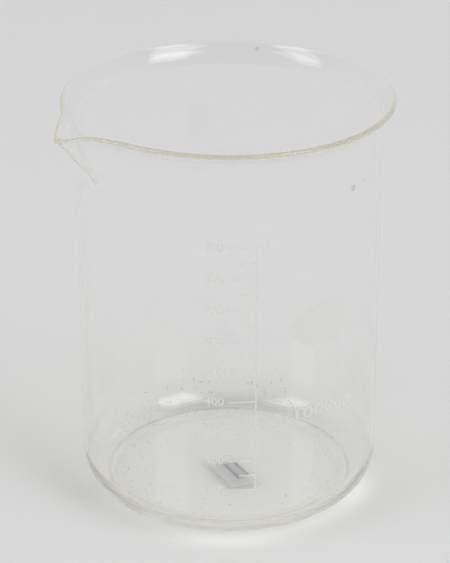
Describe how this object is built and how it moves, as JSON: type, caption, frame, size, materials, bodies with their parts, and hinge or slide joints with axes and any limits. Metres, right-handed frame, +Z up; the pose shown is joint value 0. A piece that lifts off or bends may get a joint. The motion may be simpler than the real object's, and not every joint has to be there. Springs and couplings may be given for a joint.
{
  "type": "laboratory beaker",
  "caption": "Low-form glass laboratory beaker with a flared fire-polished rim, a pouring spout, a printed volume scale and a small asset label.",
  "frame": {"origin": "centre of the flat rest face under the floor", "axes": "+Z up along the vessel's axis towards the open rim, -X towards the pouring spout, the printed scale faces -Y"},
  "size_m": [0.1271, 0.1162, 0.1504],
  "materials": {
    "borosilicate_glass": "clear, blown and fire-polished",
    "white_enamel": "thin fired enamel print, satin",
    "grey_enamel": "thin fired enamel patch, matt",
    "label_film": "adhesive polyester film",
    "label_ink": "dark thermal print"
  },
  "bodies": {
    "root": {"glass_vessel": "borosilicate_glass", "scale_stem": "white_enamel", "long_marks": "white_enamel", "short_marks": "white_enamel", "marking_patch": "grey_enamel", "asset_label": "label_film", "label_print": "label_ink"}
  },
  "joints": []
}
